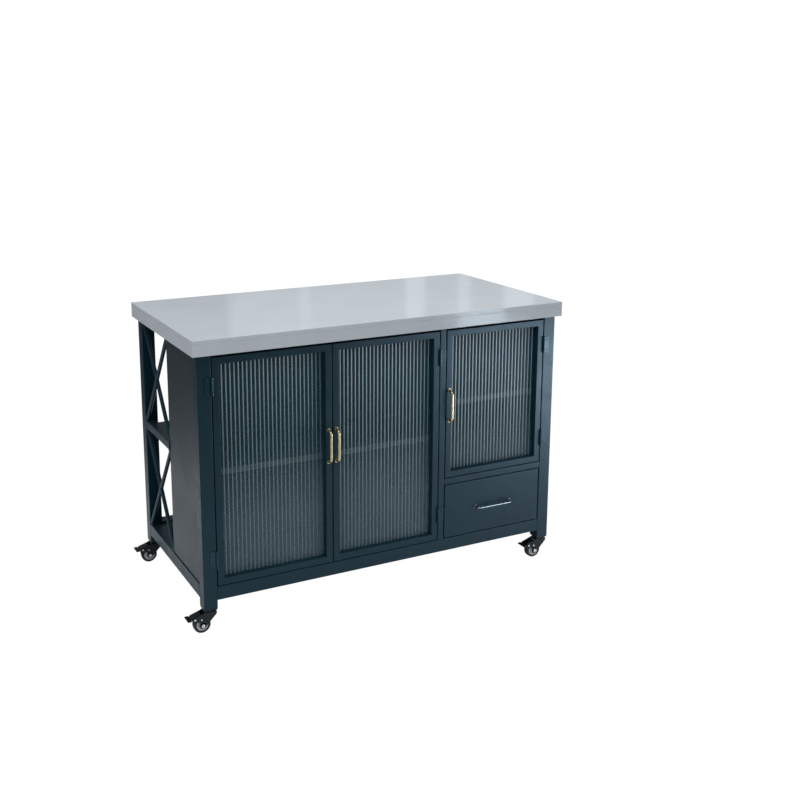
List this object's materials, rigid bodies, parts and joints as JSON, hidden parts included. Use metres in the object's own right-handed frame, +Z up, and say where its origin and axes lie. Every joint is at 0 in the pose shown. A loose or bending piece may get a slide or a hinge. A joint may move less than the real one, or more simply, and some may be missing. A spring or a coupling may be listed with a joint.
{
  "type": "kitchen island cart",
  "caption": "Rolling kitchen island: stone-look worktop on a dark steel frame, glazed cabinet with drawer in front, open braced shelves behind, braked casters.",
  "frame": {"origin": "on the floor, under the middle of the worktop, in the plane of the four tyre contacts", "axes": "+X right along the front, +Y from the front to the back, +Z up"},
  "size_m": [1.233, 0.6063, 0.85],
  "materials": {
    "stone": "polished pale grey engineered stone",
    "plywood": "bare plywood, lightly sanded",
    "frame_paint": "satin powder coat, blue-black",
    "painted_board": "matt blue-black paint on board",
    "hinge_paint": "satin painted steel",
    "fluted_glass": "clear fluted glass",
    "satin_brass": "satin brass",
    "gunmetal": "dark gunmetal plating",
    "zinc_steel": "bright zinc plate",
    "caster_steel": "black electrocoat",
    "tyre_rubber": "smooth black tread",
    "grey_plastic": "moulded light grey",
    "black_plastic": "moulded black"
  },
  "bodies": {
    "frame": {"bay_divider": "painted_board", "bottom_rails": "frame_paint", "cabinet_back": "painted_board", "cabinet_floor": "painted_board", "cabinet_shelves": "painted_board", "caster_mounts": "caster_steel", "corner_posts": "frame_paint", "door_catches": "black_plastic", "drawer_deck": "painted_board", "fixed_runners": "zinc_steel", "frame_hinge_leaves": "hinge_paint", "front_divider_tubes": "frame_paint", "hinge_pins": "hinge_paint", "hinge_screws": "hinge_paint", "left_brace_rods": "frame_paint", "rear_shelves": "painted_board", "right_brace_rods": "frame_paint", "runner_batten": "plywood", "shelf_pins": "zinc_steel", "shelf_rails": "frame_paint", "side_panels": "painted_board", "top_rails": "frame_paint", "worktop_core": "plywood", "worktop_edging": "stone", "worktop_sheet": "stone"},
    "left_door": {"left_door_frame": "frame_paint", "left_door_glass": "fluted_glass", "left_door_glass_beads": "hinge_paint", "left_door_handle": "satin_brass", "left_door_hinge_leaves": "hinge_paint"},
    "middle_door": {"middle_door_frame": "frame_paint", "middle_door_glass": "fluted_glass", "middle_door_glass_beads": "hinge_paint", "middle_door_handle": "satin_brass", "middle_door_hinge_leaves": "hinge_paint"},
    "right_door": {"right_door_frame": "frame_paint", "right_door_glass": "fluted_glass", "right_door_glass_beads": "hinge_paint", "right_door_handle": "satin_brass", "right_door_hinge_leaves": "hinge_paint"},
    "drawer": {"drawer_front": "painted_board", "drawer_box": "plywood", "drawer_handle": "gunmetal", "drawer_runners": "zinc_steel"},
    "caster_front_left": {"caster_front_left_fork": "caster_steel"},
    "wheel_front_left": {"caster_front_left_tyre": "tyre_rubber", "caster_front_left_hub": "grey_plastic"},
    "brake_front_left": {"caster_front_left_pedal": "caster_steel"},
    "caster_front_right": {"caster_front_right_fork": "caster_steel"},
    "wheel_front_right": {"caster_front_right_tyre": "tyre_rubber", "caster_front_right_hub": "grey_plastic"},
    "brake_front_right": {"caster_front_right_pedal": "caster_steel"},
    "caster_rear_left": {"caster_rear_left_fork": "caster_steel"},
    "wheel_rear_left": {"caster_rear_left_tyre": "tyre_rubber", "caster_rear_left_hub": "grey_plastic"},
    "brake_rear_left": {"caster_rear_left_pedal": "caster_steel"},
    "caster_rear_right": {"caster_rear_right_fork": "caster_steel"},
    "wheel_rear_right": {"caster_rear_right_tyre": "tyre_rubber", "caster_rear_right_hub": "grey_plastic"},
    "brake_rear_right": {"caster_rear_right_pedal": "caster_steel"}
  },
  "joints": [
    {"name": "left_door_hinge", "type": "hinge", "parent": "frame", "child": "left_door", "pos_m": [-0.544, -0.289, 0.4665], "axis": [0, 0, -1], "range_deg": [0, 110]},
    {"name": "middle_door_hinge", "type": "hinge", "parent": "frame", "child": "middle_door", "pos_m": [0.169, -0.289, 0.4665], "axis": [0, 0, 1], "range_deg": [0, 95]},
    {"name": "right_door_hinge", "type": "hinge", "parent": "frame", "child": "right_door", "pos_m": [0.544, -0.289, 0.5645], "axis": [0, 0, 1], "range_deg": [0, 110]},
    {"name": "drawer_slide", "type": "slide", "parent": "frame", "child": "drawer", "axis": [0, -1, 0], "range_m": [0, 0.16]},
    {"name": "front_left_swivel", "type": "hinge", "parent": "frame", "child": "caster_front_left", "pos_m": [-0.565, -0.265, 0.0615], "axis": [0, 0, 1], "continuous": true},
    {"name": "front_left_wheel", "type": "hinge", "parent": "caster_front_left", "child": "wheel_front_left", "pos_m": [-0.5886, -0.265, 0.025], "axis": [0, 1, 0], "continuous": true},
    {"name": "front_left_brake", "type": "hinge", "parent": "caster_front_left", "child": "brake_front_left", "pos_m": [-0.611, -0.265, 0.046], "axis": [0, -1, 0], "range_deg": [0, 12]},
    {"name": "front_right_swivel", "type": "hinge", "parent": "frame", "child": "caster_front_right", "pos_m": [0.565, -0.265, 0.0615], "axis": [0, 0, 1], "continuous": true},
    {"name": "front_right_wheel", "type": "hinge", "parent": "caster_front_right", "child": "wheel_front_right", "pos_m": [0.5414, -0.265, 0.025], "axis": [0, 1, 0], "continuous": true},
    {"name": "front_right_brake", "type": "hinge", "parent": "caster_front_right", "child": "brake_front_right", "pos_m": [0.519, -0.265, 0.046], "axis": [0, -1, 0], "range_deg": [0, 12]},
    {"name": "rear_left_swivel", "type": "hinge", "parent": "frame", "child": "caster_rear_left", "pos_m": [-0.565, 0.265, 0.0615], "axis": [0, 0, 1], "continuous": true},
    {"name": "rear_left_wheel", "type": "hinge", "parent": "caster_rear_left", "child": "wheel_rear_left", "pos_m": [-0.5886, 0.265, 0.025], "axis": [0, 1, 0], "continuous": true},
    {"name": "rear_left_brake", "type": "hinge", "parent": "caster_rear_left", "child": "brake_rear_left", "pos_m": [-0.611, 0.265, 0.046], "axis": [0, -1, 0], "range_deg": [0, 12]},
    {"name": "rear_right_swivel", "type": "hinge", "parent": "frame", "child": "caster_rear_right", "pos_m": [0.565, 0.265, 0.0615], "axis": [0, 0, 1], "continuous": true},
    {"name": "rear_right_wheel", "type": "hinge", "parent": "caster_rear_right", "child": "wheel_rear_right", "pos_m": [0.5414, 0.265, 0.025], "axis": [0, 1, 0], "continuous": true},
    {"name": "rear_right_brake", "type": "hinge", "parent": "caster_rear_right", "child": "brake_rear_right", "pos_m": [0.519, 0.265, 0.046], "axis": [0, -1, 0], "range_deg": [0, 12]}
  ]
}
